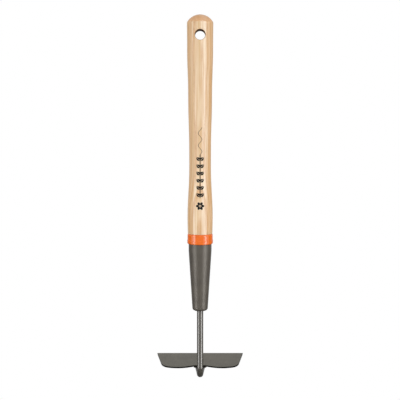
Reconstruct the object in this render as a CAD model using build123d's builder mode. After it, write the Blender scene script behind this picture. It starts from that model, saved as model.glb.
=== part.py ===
from build123d import *
import os
from math import cos, radians, sin, tan

# A short-handled draw hoe, in millimetres. The origin is the centre of the hanging hole, on the
# handle's axis. +Z points to the butt, +Y the way the blade reaches, and X runs across the blade.

# Handle: a turned ash grip, domed at the butt, waisted for the fingers and swollen above the collar
butt_top_z = 25.4
dome_height = 9.7
shoulder_r = 16.2
shoulder_edge_r = 3.0
hanging_hole_d = 12.7
hole_rim_r = 0.8
grip_outline = [
    (16.0, -8.0),
    (15.9, -27.5),
    (14.95, -58.5),
    (14.6, -93.0),
    (13.8, -119.0),
    (13.5, -145.5),
    (13.85, -179.5),
    (15.05, -201.5),
]
swell_r = 15.75
swell_z = -222.5
grip_end_r = 15.35
grip_end_z = -245.4
drill_point = 118.0

# Ferrule: a drawn steel socket, straight at the rim and conical below
ferrule_rim_z = -252.0
ferrule_cone_z = -267.5
ferrule_bottom_z = -343.3
ferrule_rim_r = 14.35
ferrule_bottom_r = 9.55
ferrule_wall = 1.2
ferrule_edge_r = 3.4
ferrule_shoulder_r = 30.0
glue_pocket = 8.6

# Collar: a plastic ring with a wider lip at its lower end
collar_bottom_z = -258.3
collar_r = 15.8
collar_lip_z = -253.6
collar_lip_step = 0.3
collar_top_edge_r = 1.9
collar_bottom_edge_r = 1.3

# Neck: a rod with its tang in the handle, bent forward and pressed flat under the blade
rod_d = 8.0
tang_tip_z = -266.0
tang_tip_chamfer = 2.5
tang_bore_play = 2.0
bend_r = 12.0
bend_centre_z = -416.8
spread_start = 12.0
spread_end = 46.0
foot_length = 27.0
foot_half_width = 6.7
foot_half_thickness = 3.4
foot_thickness = 4.2
press_ramp = 5.0
rod_stations = 10
straight_stations = 3

# Blade: a flat plate that rises from its back edge to its cutting edge
blade_rise = 10.0
blade_thickness = 2.0
blade_depth = 43.2
blade_back_y = 23.4
cutting_edge_width = 114.4
back_corner = (49.2, 4.6)
back_corner_r = 13.0
lobe_x = 26.0
valley = (8.2, 4.9)
valley_r = 12.0
sheared_edge_r = 0.4
bevel_length = 5.0
cutting_edge_thickness = 0.7

# Welds and the pin that holds the ferrule on the handle
ferrule_bead = 1.9
bead_half_width_front = 7.6
bead_end_r = 8.8
bead_height = 2.0
bead_taper = 38.0
pin_z = -279.0
pin_d = 3.5
pin_head_d = 7.0
pin_head_height = 1.6
pin_head_seat = 0.8
pin_depth = 8.0

rod_r = rod_d / 2
hole_r = hanging_hole_d / 2
pin_r = pin_d / 2
shoulder_z = butt_top_z - dome_height
dome_r = (shoulder_r**2 + dome_height**2) / (2 * dome_height)
spigot_r = ferrule_rim_r - ferrule_wall
ferrule_slope = (ferrule_rim_r - ferrule_bottom_r) / (ferrule_cone_z - ferrule_bottom_z)
ferrule_floor_z = ferrule_bottom_z + ferrule_wall
spigot_end_z = ferrule_floor_z + glue_pocket
tang_bore_z = tang_tip_z + tang_bore_play
pin_seat_y = ferrule_rim_r - ferrule_slope * (ferrule_cone_z - pin_z)
foot_end_centre = foot_length - foot_half_width - 0.5

# The foot leaves the bend along the blade's slope, and its plane lies along the foot's centreline.
rise = radians(blade_rise)
bend_length = bend_r * (radians(90) + rise)
foot_start_y = bend_r * (1 + sin(rise))
foot_plane = Plane(
    origin=(0, foot_start_y, bend_centre_z - bend_r * cos(rise)),
    x_dir=(1, 0, 0),
    z_dir=(0, -sin(rise), cos(rise)),
)
foot_side_plane = Plane(origin=foot_plane.origin, x_dir=foot_plane.y_dir, z_dir=(1, 0, 0))
blade_back_v = (blade_back_y - foot_start_y) / cos(rise)
under_blade = Plane(
    origin=foot_plane.from_local_coords((0, blade_back_v, foot_thickness / 2)),
    x_dir=(1, 0, 0),
    z_dir=foot_plane.z_dir,
)

foot_end_v = foot_end_centre - blade_back_v
bead_front_v = valley[1] - 0.6

os.makedirs("parts", exist_ok=True)


def socket_r(z):
    """Inner radius of the ferrule's cone, which the handle's spigot fills."""
    return spigot_r - ferrule_slope * (ferrule_cone_z - z)


def rod_plane(distance):
    """Plane across the rod, distance along its centreline from the start of the bend."""
    if distance > bend_length:
        origin = foot_plane.from_local_coords((0, distance - bend_length, 0))
        return Plane(origin=origin, x_dir=(1, 0, 0), z_dir=foot_plane.y_dir)
    turn = max(distance, 0) / bend_r
    return Plane(
        origin=(0, bend_r * (1 - cos(turn)), bend_centre_z - bend_r * sin(turn) - min(distance, 0)),
        x_dir=(1, 0, 0),
        z_dir=(0, sin(turn), -cos(turn)),
    )


def spread(distance):
    """How far the rod has spread from round, 0, to the foot's full width, 1."""
    share = min(max((distance - spread_start) / (spread_end - spread_start), 0), 1)
    return share * share * (3 - 2 * share)


def round_corner(section, corner, radius):
    """Round the corner of a section that lies at the point given."""
    fillet(section.vertices().sort_by_distance(corner)[0], radius=radius)


def finish(piece, label):
    """Name a finished piece and write it as a STEP file."""
    piece.part.label = label
    export_step(piece.part, f"parts/{label}.step")


# Ferrule
with BuildPart() as ferrule:
    with BuildSketch(Plane.XZ) as ferrule_section:
        with BuildLine():
            Polyline(
                (ferrule_rim_r, ferrule_rim_z),
                (ferrule_rim_r, ferrule_cone_z),
                (ferrule_bottom_r, ferrule_bottom_z),
                (rod_r, ferrule_bottom_z),
                (rod_r, ferrule_floor_z),
                (socket_r(ferrule_floor_z), ferrule_floor_z),
                (spigot_r, ferrule_cone_z),
                (spigot_r, ferrule_rim_z),
                close=True,
            )
        make_face()
        round_corner(ferrule_section, (ferrule_bottom_r, ferrule_bottom_z), ferrule_edge_r)
        round_corner(
            ferrule_section, (socket_r(ferrule_floor_z), ferrule_floor_z), ferrule_edge_r - ferrule_wall
        )
        round_corner(ferrule_section, (ferrule_rim_r, ferrule_cone_z), ferrule_shoulder_r)
    revolve(axis=Axis.Z)
    with BuildSketch(Plane.XZ):
        with Locations((0, pin_z)):
            Circle(pin_r)
    extrude(amount=-ferrule_rim_r, mode=Mode.SUBTRACT)
finish(ferrule, "ferrule")

# Collar
with BuildPart() as collar:
    with BuildSketch(Plane.XZ) as collar_section:
        with BuildLine():
            Polyline(
                (spigot_r, grip_end_z),
                (collar_r, grip_end_z),
                (collar_r, collar_lip_z + collar_lip_step),
                (collar_r + collar_lip_step, collar_lip_z),
                (collar_r + collar_lip_step, collar_bottom_z),
                (ferrule_rim_r, collar_bottom_z),
                (ferrule_rim_r, ferrule_rim_z),
                (spigot_r, ferrule_rim_z),
                close=True,
            )
        make_face()
        round_corner(collar_section, (collar_r, grip_end_z), collar_top_edge_r)
        round_corner(collar_section, (collar_r + collar_lip_step, collar_bottom_z), collar_bottom_edge_r)
    revolve(axis=Axis.Z)
finish(collar, "collar")

# Retaining pin: its head is seated on the ferrule's cone
with BuildPart() as retaining_pin:
    with BuildSketch(Plane.YZ):
        with BuildLine():
            head_y = pin_seat_y + pin_head_height
            head = ThreePointArc(
                (head_y, pin_z),
                (pin_seat_y + pin_head_height * 0.72, pin_z + pin_head_d * 0.27),
                (pin_seat_y, pin_z + pin_head_d / 2),
            )
            Polyline(
                head @ 1,
                (pin_seat_y - pin_head_seat, pin_z + pin_head_d / 2),
                (pin_seat_y - pin_head_seat, pin_z + pin_r),
                (pin_seat_y - pin_depth, pin_z + pin_r),
                (pin_seat_y - pin_depth, pin_z),
                head @ 0,
            )
        make_face()
    revolve(axis=Axis((0, 0, pin_z), (0, 1, 0)))
    chamfer(retaining_pin.edges().sort_by(Axis.Y)[0], length=pin_r * 0.4)
    add(ferrule.part, mode=Mode.SUBTRACT)
finish(retaining_pin, "retaining_pin")

# Neck
with BuildPart() as neck:
    station_gap = (bend_length + foot_length) / rod_stations
    with BuildSketch(Plane.XY.offset(tang_tip_z)):
        Circle(rod_r)
    extrude(amount=bend_centre_z + straight_stations * station_gap - tang_tip_z)
    chamfer(neck.edges().sort_by(Axis.Z)[-1], length=tang_tip_chamfer)
    for station in range(-straight_stations, rod_stations + 1):
        distance = station * station_gap
        with BuildSketch(rod_plane(distance)):
            Ellipse(
                rod_r + (foot_half_width - rod_r) * spread(distance),
                rod_r + (foot_half_thickness - rod_r) * spread(distance),
            )
    loft()
    # The press leaves the foot flat above and below
    with BuildSketch(foot_side_plane):
        with BuildLine():
            Polyline(
                (0, rod_r),
                (press_ramp, foot_thickness / 2),
                (foot_length + 1, foot_thickness / 2),
                (foot_length + 1, rod_d),
                (0, rod_d),
                close=True,
            )
        make_face()
        mirror(about=Plane.XZ)
    extrude(amount=rod_d, both=True, mode=Mode.SUBTRACT)
    # Its end is rounded in plan
    with BuildSketch(foot_plane):
        with Locations((0, foot_length)):
            Rectangle(3 * foot_half_width, 2 * foot_half_width + 1)
        with Locations((0, foot_end_centre)):
            Circle(foot_half_width, mode=Mode.SUBTRACT)
    extrude(amount=foot_thickness, both=True, mode=Mode.SUBTRACT)
finish(neck, "neck")

# Handle
with BuildPart() as handle:
    with BuildSketch(Plane.XZ):
        with BuildLine():
            dome = RadiusArc((0, butt_top_z), (shoulder_r, shoulder_z), dome_r)
            grip = Spline(
                dome @ 1,
                *grip_outline,
                (swell_r, swell_z),
                (grip_end_r, grip_end_z),
                tangents=[(0, -1), (-0.03, -1)],
            )
            Polyline(
                grip @ 1,
                (spigot_r, grip_end_z),
                (spigot_r, ferrule_cone_z),
                (socket_r(spigot_end_z), spigot_end_z),
                (rod_r, spigot_end_z),
                (rod_r, tang_bore_z),
                (0, tang_bore_z + rod_r / tan(radians(drill_point / 2))),
                dome @ 0,
            )
        make_face()
    revolve(axis=Axis.Z)
    shoulder = handle.edges().filter_by(lambda edge: abs(edge.center().Z - shoulder_z) < 0.01)
    fillet(shoulder, radius=shoulder_edge_r)
    with BuildSketch(Plane.XZ):
        Circle(hole_r)
    extrude(amount=2 * shoulder_r, both=True, mode=Mode.SUBTRACT)
    rims = handle.edges().filter_by(GeomType.BSPLINE).filter_by(lambda edge: edge.length < 4 * hanging_hole_d)
    fillet(rims, radius=hole_rim_r)
    with BuildSketch(Plane.XZ.offset(pin_depth - pin_seat_y)):
        with Locations((0, pin_z)):
            Circle(pin_r)
    extrude(amount=-pin_depth, mode=Mode.SUBTRACT)
finish(handle, "handle")

# Blade
with BuildPart() as blade:
    with BuildSketch(under_blade) as blade_outline:
        with BuildLine():
            Polyline((0, blade_depth), (0, valley[1]), valley)
            ThreePointArc(valley, (lobe_x, 0), back_corner)
            Polyline(back_corner, (cutting_edge_width / 2, blade_depth), (0, blade_depth))
        make_face()
        round_corner(blade_outline, valley, valley_r)
        round_corner(blade_outline, back_corner, back_corner_r)
        mirror(about=Plane.YZ)
    extrude(amount=blade_thickness)
    underside = blade.faces().sort_by(SortBy.AREA)[-2:].sort_by(Axis.Z)[0]
    chamfer(
        underside.edges().sort_by(SortBy.LENGTH)[-1],
        length=bevel_length,
        length2=blade_thickness - cutting_edge_thickness,
        reference=underside,
    )
    for broad_face in blade.faces().sort_by(SortBy.AREA)[-2:]:
        sheared_edges = broad_face.outer_wire().edges().sort_by(SortBy.LENGTH)[:-1]
        fillet(sheared_edges, radius=sheared_edge_r)
finish(blade, "blade")

# Weld between the foot and the blade
with BuildPart() as blade_weld:
    with BuildSketch(under_blade):
        with BuildLine():
            Polyline(
                (0, bead_front_v),
                (bead_half_width_front, bead_front_v),
                (bead_end_r, foot_end_v),
                (0, foot_end_v),
                close=True,
            )
        make_face()
        mirror(about=Plane.YZ)
        with Locations((0, foot_end_v)):
            Circle(bead_end_r)
    extrude(amount=-bead_height, taper=bead_taper)
    add(neck.part, mode=Mode.SUBTRACT)
finish(blade_weld, "blade_weld")

# Weld between the neck and the ferrule's floor
with BuildPart() as ferrule_weld:
    with BuildSketch(Plane.XZ):
        with BuildLine():
            Polyline(
                (rod_r, ferrule_floor_z),
                (rod_r + ferrule_bead, ferrule_floor_z),
                (rod_r, ferrule_floor_z + ferrule_bead),
                close=True,
            )
        make_face()
    revolve(axis=Axis.Z)
finish(ferrule_weld, "ferrule_weld")
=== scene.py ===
from math import cos, hypot, pi, radians, sin, tan

import bpy
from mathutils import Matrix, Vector


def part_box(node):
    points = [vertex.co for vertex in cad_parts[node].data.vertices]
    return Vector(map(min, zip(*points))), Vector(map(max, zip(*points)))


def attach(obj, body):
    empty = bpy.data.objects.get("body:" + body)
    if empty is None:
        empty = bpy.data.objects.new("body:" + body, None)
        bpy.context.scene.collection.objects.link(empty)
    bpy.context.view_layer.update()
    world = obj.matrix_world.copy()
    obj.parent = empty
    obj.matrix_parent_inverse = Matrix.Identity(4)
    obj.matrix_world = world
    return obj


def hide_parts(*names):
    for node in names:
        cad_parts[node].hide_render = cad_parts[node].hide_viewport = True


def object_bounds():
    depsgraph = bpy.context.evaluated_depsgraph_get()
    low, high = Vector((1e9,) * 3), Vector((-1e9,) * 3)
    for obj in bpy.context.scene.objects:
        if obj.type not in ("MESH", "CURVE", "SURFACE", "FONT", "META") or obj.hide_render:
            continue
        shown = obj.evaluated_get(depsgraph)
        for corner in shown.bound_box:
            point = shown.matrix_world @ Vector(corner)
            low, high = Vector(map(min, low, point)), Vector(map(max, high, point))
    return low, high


# A short-handled draw hoe: a lacquered ash grip, an orange collar, and a painted steel ferrule, neck
# and blade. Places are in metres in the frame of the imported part; finishes are worked out in
# millimetres. The origin is the centre of the hanging hole, +Z points to the butt, and the blade
# reaches towards +Y.

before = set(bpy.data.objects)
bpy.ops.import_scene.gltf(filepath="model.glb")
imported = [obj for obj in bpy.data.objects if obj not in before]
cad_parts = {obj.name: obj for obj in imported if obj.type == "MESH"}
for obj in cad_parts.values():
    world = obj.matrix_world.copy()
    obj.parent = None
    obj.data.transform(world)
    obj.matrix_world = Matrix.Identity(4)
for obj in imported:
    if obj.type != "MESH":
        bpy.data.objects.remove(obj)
cad_low, cad_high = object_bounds()

MM = 0.001

# The camera stands in front of the tool, a little above its middle, and looks slightly down
aim = Vector((-0.125 * MM, 0, (cad_low.z + cad_high.z) / 2 + 0.27 * MM))
eye_distance = 1.2
eye_rise = 0.1166
view_width = 0.5
sensor_width = 36

# Studio: a wide softbox and a bright tube on each side, and a faint card in front and behind. Start and
# end are degrees round the tool from straight in front of it, positive to the right.
lights = {
    "left_softbox": {"start": -84, "end": -42, "top": 0.25, "radiance": 1.4},
    "left_tube": {"start": -62, "end": -48, "top": 0.8, "radiance": 4.0},
    "right_softbox": {"start": 28, "end": 84, "top": 0.25, "radiance": 1.2},
    "right_tube": {"start": 43, "end": 60, "top": 0.8, "radiance": 4.6},
    "front_card": {"start": -42, "end": 28, "top": 0.25, "radiance": 0.35},
    "back_card": {"start": 125, "end": 235, "top": 0.25, "radiance": 0.3},
}
light_distance = 1.2
light_bottom = -0.95
light_from_below = 0.1
light_from_above = 0.8
floor_z = -1.6
floor_size = 60

# Handle, in millimetres: growth rings round a pith that lies behind the grip, and the hanging hole
pith = (-1.5, 42.0)
ring_gap = 2.7
hole_r = 6.35

# Weld bead under the blade
blade_rise = radians(10)
bead_r = 1.5 * MM
bead_sink = 0.5 * MM
ripple_gap = 1.25 * MM
ripple_height = 0.14 * MM


def linear(hex_colour):
    """A colour as shader values, from six hexadecimal digits."""
    channels = [int(hex_colour[i : i + 2], 16) / 255 for i in (0, 2, 4)]
    return (*(c / 12.92 if c < 0.04045 else ((c + 0.055) / 1.055) ** 2.4 for c in channels), 1)


class Value:
    """A socket's value. Arithmetic on it adds Math nodes to its tree."""

    def __init__(self, nodes, socket):
        self.nodes = nodes
        self.socket = socket

    def __add__(self, other):
        return self.nodes.math("ADD", self, other)

    def __radd__(self, other):
        return self.nodes.math("ADD", other, self)

    def __sub__(self, other):
        return self.nodes.math("SUBTRACT", self, other)

    def __rsub__(self, other):
        return self.nodes.math("SUBTRACT", other, self)

    def __mul__(self, other):
        return self.nodes.math("MULTIPLY", self, other)

    def __rmul__(self, other):
        return self.nodes.math("MULTIPLY", other, self)

    def __truediv__(self, other):
        return self.nodes.math("DIVIDE", self, other)

    def __pow__(self, other):
        return self.nodes.math("POWER", self, other)

    def __abs__(self):
        return self.nodes.math("ABSOLUTE", self)


class Nodes:
    """A node tree that is filled one node at a time."""

    def __init__(self, tree):
        self.tree = tree

    def node(self, kind, settings=None, inputs=None, output=0):
        """Add a node: its settings first, then its inputs, and return one of its outputs."""
        added = self.tree.nodes.new(kind)
        for name, value in (settings or {}).items():
            setattr(added, name, value)
        for name, value in (inputs or {}).items():
            self.feed(added.inputs[name], value)
        return Value(self, added.outputs[output])

    def feed(self, socket, value):
        """Link a value to a socket, or set the socket to a plain number, vector or colour."""
        if isinstance(value, Value):
            self.tree.links.new(value.socket, socket)
        else:
            socket.default_value = value

    def math(self, operation, *values):
        return self.node("ShaderNodeMath", {"operation": operation}, dict(enumerate(values)))

    def vector(self, operation, *values):
        return self.node("ShaderNodeVectorMath", {"operation": operation}, dict(enumerate(values)))

    def axes(self, place):
        return [self.node("ShaderNodeSeparateXYZ", None, {0: place}, axis) for axis in range(3)]

    def rise(self, value, low, high):
        """0 below low, 1 above high, and smooth between them. With low above high it falls."""
        settings = {"interpolation_type": "SMOOTHSTEP"}
        inputs = {"Value": value, "From Min": low, "From Max": high}
        return self.node("ShaderNodeMapRange", settings, inputs)

    def mix(self, factor, a, b):
        """One colour at 0, the other at 1."""
        return self.node("ShaderNodeMix", {"data_type": "RGBA"}, {0: factor, 6: a, 7: b}, 2)


class Finish(Nodes):
    """A material. Its place is the point on the piece, in millimetres."""

    def __init__(self, name):
        self.material = bpy.data.materials.new(name)
        self.material.use_nodes = True
        super().__init__(self.material.node_tree)
        self.shader = self.tree.nodes["Principled BSDF"].inputs
        point = self.node("ShaderNodeTexCoord", None, None, "Object")
        self.place = self.vector("MULTIPLY", point, (1 / MM, 1 / MM, 1 / MM))
        self.facing = self.node("ShaderNodeTexCoord", None, None, "Normal")

    def noise(self, density, detail=2.0, roughness=0.5):
        """Noise from 0 to 1, with so many features to the millimetre along X, Y and Z."""
        stretched = self.vector("MULTIPLY", self.place, density)
        inputs = {"Vector": stretched, "Scale": 1.0, "Detail": detail, "Roughness": roughness}
        return self.node("ShaderNodeTexNoise", None, inputs)

    def bump(self, height, depth):
        """Let a height from 0 to 1 stand so many millimetres proud."""
        inputs = {"Height": height, "Distance": depth * MM, "Strength": 1.0}
        self.feed(self.shader["Normal"], self.node("ShaderNodeBump", None, inputs))


def sprig_print(wood, x, z):
    """1 on the printed sprig that runs up the front of the grip, 0 elsewhere."""
    soft = 0.12
    top, bottom, leaf_gap = -146.0, -199.6, 8.9
    leaf_length, leaf_half_width, lean = 6.2, 2.2, radians(52)
    leaf_foot, stem_half_width = 1.9, 0.55
    tendril_top, tendril_turn, tendril_swing, tendril_half_width = -112.0, 0.42, 2.2, 0.42
    rosette_z, rosette_r, rosette_heart_r = -209.5, 5.2, 0.8

    def inside(distance):
        return wood.rise(distance, soft, -soft)

    side = abs(x)
    in_cell = wood.math("FLOORED_MODULO", z - bottom, leaf_gap) - leaf_foot
    along = side * sin(lean) + in_cell * cos(lean)
    across = side * cos(lean) - in_cell * sin(lean)
    share = wood.math("MINIMUM", wood.math("MAXIMUM", along / leaf_length, 0.0), 1.0)
    leaf_edge = wood.math("SINE", share ** 0.8 * pi) * leaf_half_width
    leaf = inside(abs(across) - leaf_edge) * wood.rise(abs(across), 0.08, 0.2)
    stem = inside(side - stem_half_width)
    sprig = wood.math("MAXIMUM", leaf, stem) * wood.rise(z, top + soft, top - soft)
    sprig = sprig * wood.rise(z, bottom - soft, bottom + soft)

    # A tendril climbs on from the top leaf and dies away
    reach = (z - top) / (tendril_top - top)
    swing = wood.math("SINE", (z - top) * tendril_turn) * tendril_swing
    tendril = inside(abs(x - swing) - tendril_half_width) * wood.rise(z, top - soft, top + soft)
    tendril = tendril * wood.rise(reach, 1.0, 0.97)

    # A six-petalled rosette closes it at the bottom
    drop = z - rosette_z
    distance = wood.math("SQRT", x * x + drop * drop)
    angle = wood.math("ARCTAN2", drop, x)
    petal_edge = rosette_r * (0.62 + 0.38 * abs(wood.math("COSINE", angle * 3)))
    petals = inside(distance - petal_edge) * wood.rise(distance, 1.25, 1.5)
    rosette = wood.math("MAXIMUM", petals, inside(distance - rosette_heart_r))
    return wood.math("MAXIMUM", wood.math("MAXIMUM", sprig, tendril * 0.75), rosette)


def lacquered_ash():
    """Turned ash under clear lacquer: pale late wood, tan early wood with open pores, darker end grain."""
    wood = Finish("lacquered_ash")
    x, y, z = wood.axes(wood.place)

    # Growth rings, which the waist and the swell of the grip cut into long arches
    wander = (wood.noise((0.03, 0.03, 0.006), 1.5) - 0.5) * 5.0
    ripple = (wood.noise((0.25, 0.25, 0.012), 2.0) - 0.5) * 0.9
    from_pith_x = x - pith[0] + z * 0.004
    from_pith_y = y - pith[1] + z * 0.02
    radius = wood.math("SQRT", from_pith_x * from_pith_x + from_pith_y * from_pith_y)
    ring = (radius + wander + ripple) / ring_gap
    phase = wood.math("FRACT", ring)
    ring_number = {"W": wood.math("FLOOR", ring)}
    ring_tone = wood.node("ShaderNodeTexWhiteNoise", {"noise_dimensions": "1D"}, ring_number)
    early = wood.math("MAXIMUM", wood.rise(phase, 0.5, 0.04), wood.rise(phase, 0.88, 1.0))

    # Fibres and pores run along the grain
    broad_streaks = wood.noise((0.24, 0.24, 0.004), 2.0)
    fibres = wood.noise((0.8, 0.8, 0.01), 3.0, 0.6)
    fine_fibres = wood.noise((6.0, 6.0, 0.12), 2.0, 0.6)
    pore_noise = wood.noise((3.6, 3.6, 0.2), 1.0)
    pores = wood.rise(pore_noise, 0.6, 0.7) * wood.rise(early, 0.25, 0.75)

    # A pale streak of late wood runs down the front, and both flanks are more orange
    sway = (wood.noise((0.0, 0.0, 0.02), 1.0) - 0.5) * 4.0
    front = wood.rise(y, 0.0, -6.0)
    pale_streak = wood.rise(abs(x - 4.2 + sway), 4.5, 1.0) * front
    flank = wood.rise(abs(x + sway * 0.5), 7.5, 11.0) * front

    late_colour = wood.mix(wood.rise(broad_streaks, 0.38, 0.62), linear("d2b287"), linear("e2cbab"))
    late_colour = wood.mix(pale_streak * 0.7, late_colour, linear("efdfc9"))
    late_colour = wood.mix(flank * 0.34, late_colour, linear("cf9f68"))
    early_colour = wood.mix(ring_tone, linear("b97c45"), linear("cb9a63"))
    colour = wood.mix(early * (0.3 + 0.6 * ring_tone), late_colour, early_colour)
    colour = wood.mix(wood.rise(fibres, 0.4, 0.68) * 0.6, colour, linear("c4935d"))
    colour = wood.mix(wood.rise(fine_fibres, 0.45, 0.8) * 0.2, colour, linear("b98a55"))
    colour = wood.mix(pores * 0.5, colour, linear("85572f"))

    # End grain drinks the lacquer and goes darker; the bare hole is darker still, partly as painted shade
    _, _, tilt = wood.axes(wood.facing)
    end_grain = wood.rise(abs(tilt), 0.1, 0.7)
    colour = wood.mix(end_grain * 0.6, colour, linear("c68a53"))
    from_bore = wood.math("SQRT", x * x + z * z)
    bore_grain_and_shade = wood.rise(from_bore, hole_r + 0.6, hole_r + 0.15)
    colour = wood.mix(bore_grain_and_shade * 0.85, colour, linear("5a3312"))

    ink = sprig_print(wood, x, z) * wood.rise(y, -1.0, -2.0)
    colour = wood.mix(ink, colour, linear("050302"))
    wood.feed(wood.shader["Base Color"], colour)
    bare = wood.math("MAXIMUM", bore_grain_and_shade, ink)
    wood.feed(wood.shader["Roughness"], 0.42 + 0.12 * fibres + 0.4 * bare)
    wood.feed(wood.shader["Coat Weight"], 0.3 - 0.3 * bare)
    wood.shader["Coat Roughness"].default_value = 0.16
    wood.bump(0.9 - pores * 0.8 + fine_fibres * 0.05, 0.04)
    return wood.material


def orange_plastic():
    """Injection-moulded plastic: glossy, with a faint orange-peel and flow marks round the ring."""
    plastic = Finish("orange_plastic")
    flow = plastic.noise((0.12, 0.12, 0.5), 2.0)
    peel = plastic.noise((1.6, 1.6, 1.6), 2.0)
    colour = plastic.mix(plastic.rise(flow, 0.3, 0.7), linear("dd6418"), linear("e36b1b"))
    plastic.feed(plastic.shader["Base Color"], colour)
    plastic.feed(plastic.shader["Roughness"], 0.11 + 0.05 * peel)
    plastic.shader["Coat Weight"].default_value = 0.25
    plastic.shader["Coat Roughness"].default_value = 0.06
    plastic.bump(peel, 0.002)
    return plastic.material


def plate_edge_shade(paint):
    """Painted shade on a flat plate: 1 on its edges, 0 on its faces."""
    _, _, tilt = paint.axes(paint.facing)
    return paint.rise(abs(tilt), 0.95, 0.7)


def painted_shade_under_blade(paint):
    """Painted shade on the neck: 1 where it runs under the blade, 0 on its shank."""
    _, y, _ = paint.axes(paint.place)
    return 0.85 * paint.rise(y, 2.0, 8.0)


def grey_enamel(name, dark, light, roughness=0.36, coat=0.0, painted_shade_places=None):
    """Grey enamel on steel: semi-gloss, lightly orange-peeled, a little uneven between two tones."""
    paint = Finish(name)
    tone = paint.noise((0.05, 0.05, 0.05), 3.0, 0.6)
    mottle = paint.noise((0.5, 0.5, 0.5), 3.0, 0.6)
    peel = paint.noise((1.1, 1.1, 1.1), 2.0)
    colour = paint.mix(paint.rise(tone, 0.3, 0.7), linear(dark), linear(light))
    colour = paint.mix(paint.rise(mottle, 0.4, 0.8) * 0.35, colour, linear("5c5b50"))

    # Painted shade: in the given places the colour goes near black and more metallic, where shade falls
    if painted_shade_places:
        painted_shade = painted_shade_places(paint)
        colour = paint.mix(painted_shade, colour, linear("0c0b09"))
        paint.feed(paint.shader["Metallic"], 0.25 + 0.65 * painted_shade)
    else:
        paint.shader["Metallic"].default_value = 0.25
    paint.feed(paint.shader["Base Color"], colour)
    paint.feed(paint.shader["Roughness"], roughness + 0.06 * mottle)
    paint.shader["Coat Weight"].default_value = coat
    paint.shader["Coat Roughness"].default_value = 0.15
    paint.shader["Coat IOR"].default_value = 1.8
    paint.bump(peel, 0.002)
    return paint.material


def bare_weld():
    """Rough weld metal, straw-coloured in places by the heat."""
    metal = Finish("bare_weld")
    heat = metal.noise((0.6, 0.6, 0.6), 2.0)
    grain = metal.noise((5.0, 5.0, 5.0), 2.0)
    colour = metal.mix(metal.rise(heat, 0.35, 0.65), linear("8f8a84"), linear("8a7350"))
    metal.feed(metal.shader["Base Color"], colour)
    metal.feed(metal.shader["Roughness"], 0.4 + 0.2 * grain)
    metal.shader["Metallic"].default_value = 0.9
    metal.bump(grain, 0.05)
    return metal.material


def bead_path():
    """Centreline of the bead: along one side of the foot, round its end and back along the other."""
    low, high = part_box("blade_weld")
    along = Vector((0, cos(blade_rise), sin(blade_rise)))
    down = Vector((0, sin(blade_rise), -cos(blade_rise)))
    outer_r = high.x
    nose_r = outer_r - bead_r
    centre = Vector((0, high.y, high.z)) - along * outer_r + down * bead_sink
    side_length = (centre.y - low.y) / cos(blade_rise) - bead_r
    side_draw_in = 0.6 * MM
    turns = 24
    points = [Vector((nose_r - side_draw_in, 0, 0)) + centre - along * side_length]
    for step in range(turns + 1):
        angle = pi * step / turns
        points.append(centre + Vector((nose_r * cos(angle), 0, 0)) + along * nose_r * sin(angle))
    points.append(Vector((side_draw_in - nose_r, 0, 0)) + centre - along * side_length)
    return points


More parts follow.
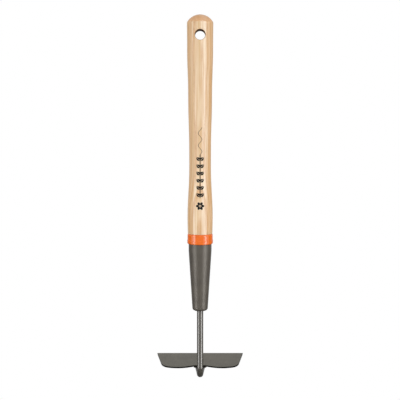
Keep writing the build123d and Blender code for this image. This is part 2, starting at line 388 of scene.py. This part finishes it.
def bead_tree():
    """Geometry Nodes that lay a rippled weld bead along a path of edges."""
    tree = bpy.data.node_groups.new("weld_bead", "GeometryNodeTree")
    tree.interface.new_socket("Geometry", in_out="INPUT", socket_type="NodeSocketGeometry")
    for name in ("Bead Radius", "Ripple Gap", "Ripple Height", "Step"):
        tree.interface.new_socket(name, in_out="INPUT", socket_type="NodeSocketFloat")
    tree.interface.new_socket("Material", in_out="INPUT", socket_type="NodeSocketMaterial")
    tree.interface.new_socket("Geometry", in_out="OUTPUT", socket_type="NodeSocketGeometry")
    bead = Nodes(tree)
    names = ("Geometry", "Bead Radius", "Ripple Gap", "Ripple Height", "Step", "Material")
    given = {name: bead.node("NodeGroupInput", None, None, name) for name in names}

    def remember(geometry, name, value):
        settings = {"data_type": "FLOAT", "domain": "POINT"}
        inputs = {"Geometry": geometry, "Name": name, "Value": value}
        return bead.node("GeometryNodeStoreNamedAttribute", settings, inputs)

    def recall(name):
        return bead.node("GeometryNodeInputNamedAttribute", {"data_type": "FLOAT"}, {"Name": name})

    path = bead.node("GeometryNodeMeshToCurve", None, {"Mesh": given["Geometry"]})
    inputs = {"Curve": path, "Length": given["Step"]}
    path = bead.node("GeometryNodeResampleCurve", {"mode": "LENGTH"}, inputs)
    path = remember(path, "along", bead.node("GeometryNodeSplineParameter", None, None, "Length"))
    path = remember(path, "share", bead.node("GeometryNodeSplineParameter", None, None, "Factor"))
    inputs = {"Resolution": 28, "Radius": given["Bead Radius"]}
    profile = bead.node("GeometryNodeCurvePrimitiveCircle", None, inputs)
    profile = remember(profile, "around", bead.node("GeometryNodeSplineParameter", None, None, "Factor"))
    from_end = 0.5 - abs(recall("share") - 0.5)
    swell = 0.3 + 0.7 * bead.rise(from_end, -0.02, 0.06)
    inputs = {"Curve": path, "Profile Curve": profile, "Fill Caps": True, "Scale": swell}
    body = bead.node("GeometryNodeCurveToMesh", None, inputs)

    # The molten pool freezes in overlapping crescents
    unsteady = {"Vector": bead.node("GeometryNodeInputPosition"), "Scale": 420.0, "Detail": 1.0}
    wobble = bead.node("ShaderNodeTexNoise", None, unsteady) - 0.5
    lag = bead.math("COSINE", recall("around") * (2 * pi)) * given["Ripple Gap"] * 0.7
    phase = (recall("along") + lag) / given["Ripple Gap"] + wobble * 0.7
    crest = abs(bead.math("SINE", phase * pi)) ** 0.6
    lift = (crest - 0.6 + wobble * 0.8) * given["Ripple Height"]
    inputs = {0: bead.node("GeometryNodeInputNormal"), "Scale": lift}
    offset = bead.node("ShaderNodeVectorMath", {"operation": "SCALE"}, inputs)
    body = bead.node("GeometryNodeSetPosition", None, {"Geometry": body, "Offset": offset})
    body = bead.node("GeometryNodeSetShadeSmooth", None, {"Geometry": body})
    for name in ("along", "share", "around"):
        body = bead.node("GeometryNodeRemoveAttribute", None, {"Geometry": body, "Name": name})
    body = bead.node("GeometryNodeRealizeInstances", None, {"Geometry": body})
    body = bead.node("GeometryNodeSetMaterial", None, {"Geometry": body, "Material": given["Material"]})
    bead.feed(tree.nodes.new("NodeGroupOutput").inputs["Geometry"], body)
    return tree


def weld_bead(finish):
    """The bead that joins the foot of the neck to the blade."""
    path = bpy.data.meshes.new("bead_path")
    points = bead_path()
    path.from_pydata(points, [(i, i + 1) for i in range(len(points) - 1)], [])
    piece = bpy.data.objects.new("blade_weld_bead", path)
    bpy.context.scene.collection.objects.link(piece)
    tree = bead_tree()
    lay = piece.modifiers.new("lay_bead", "NODES")
    lay.node_group = tree
    values = {
        "Bead Radius": bead_r,
        "Ripple Gap": ripple_gap,
        "Ripple Height": ripple_height,
        "Step": ripple_gap / 10,
        "Material": finish,
    }
    for item in tree.interface.items_tree:
        if item.in_out == "INPUT" and item.name in values:
            lay[item.identifier] = values[item.name]
    settled = piece.evaluated_get(bpy.context.evaluated_depsgraph_get())
    piece.data = bpy.data.meshes.new_from_object(settled)
    piece.modifiers.clear()
    return piece


def upright_light(name, start, end, top, radiance):
    """A tall rectangular light that fills the angles given, as seen from the tool."""
    azimuth, half_angle = radians((start + end) / 2), radians((end - start) / 2)
    light = bpy.data.lights.new(name, "AREA")
    light.shape = "RECTANGLE"
    light.size = 2 * light_distance * tan(half_angle)
    light.size_y = top - light_bottom
    light.energy = radiance * pi * light.size * light.size_y
    box = bpy.data.objects.new(name, light)
    bpy.context.scene.collection.objects.link(box)
    away = Vector((sin(azimuth), -cos(azimuth), 0))
    box.location = away * light_distance + Vector((0, 0, (top + light_bottom) / 2))
    box.rotation_euler = away.to_track_quat("Z", "Y").to_euler()
    box.visible_camera = False


def studio():
    """Lights, a plain white floor well below the tool, and a white room that lights it only faintly."""
    for name, light in lights.items():
        upright_light(name, **light)

    half = floor_size / 2
    sheet = bpy.data.meshes.new("floor")
    corners = [(-half, -half), (half, -half), (half, half), (-half, half)]
    sheet.from_pydata([(x, y, floor_z) for x, y in corners], [], [(0, 1, 2, 3)])
    floor = bpy.data.objects.new("floor", sheet)
    bpy.context.scene.collection.objects.link(floor)
    paper = Finish("white_paper")
    paper.shader["Base Color"].default_value = (0, 0, 0, 1)
    paper.shader["Specular IOR Level"].default_value = 0
    paper.shader["Emission Color"].default_value = (1, 1, 1, 1)
    paper.shader["Emission Strength"].default_value = 1
    sheet.materials.append(paper.material)
    floor.visible_diffuse = False
    floor.visible_glossy = False

    room = bpy.data.worlds.new("room")
    room.use_nodes = True
    bpy.context.scene.world = room
    air = Nodes(room.node_tree)
    seen = air.node("ShaderNodeLightPath", None, None, "Is Camera Ray")
    _, _, height = air.axes(air.node("ShaderNodeTexCoord", None, None, "Generated"))
    glow = light_from_below + (light_from_above - light_from_below) * air.rise(height, 0.0, 0.5)
    background = room.node_tree.nodes["Background"].inputs
    air.feed(background["Color"], (1, 1, 1, 1))
    air.feed(background["Strength"], glow + seen * (1 - glow))


def camera():
    """A camera with a long lens, a little above the tool's middle and tilted down to it."""
    lens = bpy.data.cameras.new("camera")
    lens.sensor_width = sensor_width
    lens.lens = sensor_width * hypot(eye_distance, eye_rise) / view_width
    eye = bpy.data.objects.new("camera", lens)
    bpy.context.scene.collection.objects.link(eye)
    eye.location = aim + Vector((0, -eye_distance, eye_rise))
    eye.rotation_euler = (eye.location - aim).to_track_quat("Z", "Y").to_euler()
    bpy.context.scene.camera = eye


finishes = {
    "lacquered_ash": lacquered_ash(),
    "orange_plastic": orange_plastic(),
    "grey_enamel": grey_enamel("grey_enamel", "504a44", "5a544c"),
    "bare_weld": bare_weld(),
}
# The rod gets painted shade where it runs under the blade, and the blade gets painted shade on its plate
# edges
rod_enamel = grey_enamel("rod_enamel", "46433c", "504c45", 0.24, 0.8, painted_shade_under_blade)
blade_enamel = grey_enamel("blade_enamel", "4c483e", "555146", painted_shade_places=plate_edge_shade)
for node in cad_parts.values():
    for slot in node.material_slots:
        slot.material = finishes[slot.material.name.split(".")[0]]
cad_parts["neck"].material_slots[0].material = rod_enamel
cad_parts["blade"].material_slots[0].material = blade_enamel

bead = weld_bead(finishes["grey_enamel"])
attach(bead, "root")
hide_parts("blade_weld")

studio()
camera()
bpy.context.scene.view_settings.view_transform = "Standard"
